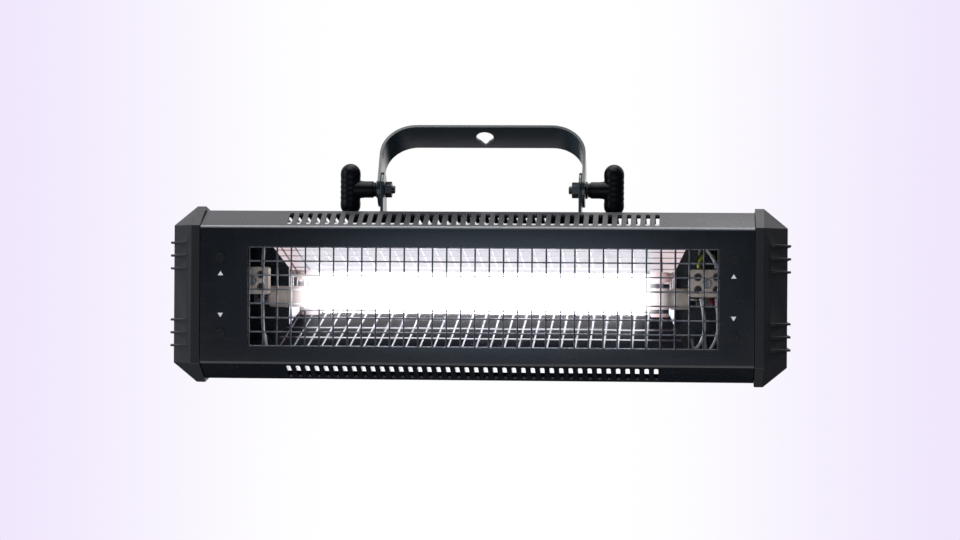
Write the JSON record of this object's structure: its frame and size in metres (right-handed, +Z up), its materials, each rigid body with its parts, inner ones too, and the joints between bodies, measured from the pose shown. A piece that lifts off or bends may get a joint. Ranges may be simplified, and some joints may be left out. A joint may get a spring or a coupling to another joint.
{
  "type": "strobe light",
  "caption": "Linear strobe light: flash tube in a polished trough behind wire mesh, black folded case with moulded end caps, hung on a tilting yoke with clamp knobs.",
  "frame": {"origin": "centre of the yoke's clamp hole on the strap's outer face, where the light hangs from its clamp", "axes": "+X along the lamp, to the right as seen from the front; +Y from the front mesh to the back panel; +Z up"},
  "size_m": [0.4418, 0.1166, 0.1871],
  "materials": {
    "black_paint": "satin black powder paint",
    "black_mould": "fine-grained black moulding",
    "mesh": "dark burnished wire",
    "polished_sheet": "polished aluminium",
    "zinc_sheet": "zinc-plated",
    "black_steel": "black oxide",
    "lamp_glass": "clear quartz",
    "ceramic": "unglazed ceramic",
    "white_lead": "silicone sleeve",
    "brown_lead": "silicone sleeve",
    "red_lead": "silicone sleeve",
    "earth_lead": "two-colour sleeve",
    "black_plastic": "satin moulding",
    "capacitor_can": "sleeved can",
    "copper_wire": "varnished winding",
    "laminate": "lacquered board",
    "display": "smoked clear",
    "connector_shell": "nickel"
  },
  "bodies": {
    "yoke": {"yoke": "black_paint"},
    "housing": {"front_cover": "black_paint", "grille": "mesh", "rear_shell": "black_paint", "end_cap_left": "black_mould", "end_cap_right": "black_mould", "end_frame_left": "black_paint", "end_frame_right": "black_paint", "chassis_plate": "black_paint", "cover_screw_upper_left": "black_steel", "cover_screw_lower_left": "black_steel", "cover_screw_upper_right": "black_steel", "cover_screw_lower_right": "black_steel", "reflector": "polished_sheet", "reflector_cheek_left": "polished_sheet", "reflector_cheek_right": "polished_sheet", "lamp_tube": "lamp_glass", "lamp_base_left": "ceramic", "lamp_base_right": "ceramic", "lamp_clip_left": "zinc_sheet", "lamp_clip_right": "zinc_sheet", "terminal_block_left": "ceramic", "terminal_block_right": "ceramic", "lead_left_lower": "white_lead", "lead_left_upper": "white_lead", "brown_lead": "brown_lead", "lead_right_outer": "white_lead", "lead_right_inner": "white_lead", "lead_right_upper": "white_lead", "red_lead": "red_lead", "earth_lead": "earth_lead", "capacitor_upper_left": "capacitor_can", "capacitor_lower_left": "capacitor_can", "capacitor_upper_right": "capacitor_can", "capacitor_lower_right": "capacitor_can", "capacitor_strap_left": "zinc_sheet", "capacitor_strap_right": "zinc_sheet", "trigger_coil": "copper_wire", "discharge_resistor": "ceramic", "control_board": "laminate", "display_window": "display", "power_inlet": "black_plastic", "fuse_holder": "black_plastic", "signal_in": "connector_shell", "signal_out": "connector_shell", "fan_frame": "black_plastic", "fan_guard": "mesh", "ear_left": "black_paint", "ear_right": "black_paint", "nut_left": "black_steel", "nut_right": "black_steel"},
    "fan_rotor": {"fan_rotor": "black_plastic"},
    "knob_left": {"knob_left": "black_plastic", "washer_left": "black_steel"},
    "knob_right": {"knob_right": "black_plastic", "washer_right": "black_steel"},
    "button_menu": {"button_menu": "black_plastic"},
    "button_down": {"button_down": "black_plastic"},
    "button_up": {"button_up": "black_plastic"},
    "button_enter": {"button_enter": "black_plastic"}
  },
  "joints": [
    {"name": "yoke_tilt", "type": "hinge", "parent": "yoke", "child": "housing", "pos_m": [0, -0.02751, -0.04079], "axis": [1, 0, 0], "range_deg": [-126, 70]},
    {"name": "knob_left_turn", "type": "hinge", "parent": "housing", "child": "knob_left", "pos_m": [-0.0952, -0.02751, -0.04079], "axis": [-1, 0, 0], "continuous": true},
    {"name": "knob_right_turn", "type": "hinge", "parent": "housing", "child": "knob_right", "pos_m": [0.0952, -0.02751, -0.04079], "axis": [1, 0, 0], "continuous": true},
    {"name": "fan_spin", "type": "hinge", "parent": "housing", "child": "fan_rotor", "pos_m": [-0.062, 0.01429, -0.11719], "axis": [0, 1, 0], "continuous": true},
    {"name": "button_menu_press", "type": "slide", "parent": "housing", "child": "button_menu", "axis": [0, -1, 0], "range_m": [0, 0.0006], "stiffness_N_per_m": 1500, "springref_m": -0.0003},
    {"name": "button_down_press", "type": "slide", "parent": "housing", "child": "button_down", "axis": [0, -1, 0], "range_m": [0, 0.0006], "stiffness_N_per_m": 1500, "springref_m": -0.0003},
    {"name": "button_up_press", "type": "slide", "parent": "housing", "child": "button_up", "axis": [0, -1, 0], "range_m": [0, 0.0006], "stiffness_N_per_m": 1500, "springref_m": -0.0003},
    {"name": "button_enter_press", "type": "slide", "parent": "housing", "child": "button_enter", "axis": [0, -1, 0], "range_m": [0, 0.0006], "stiffness_N_per_m": 1500, "springref_m": -0.0003}
  ]
}
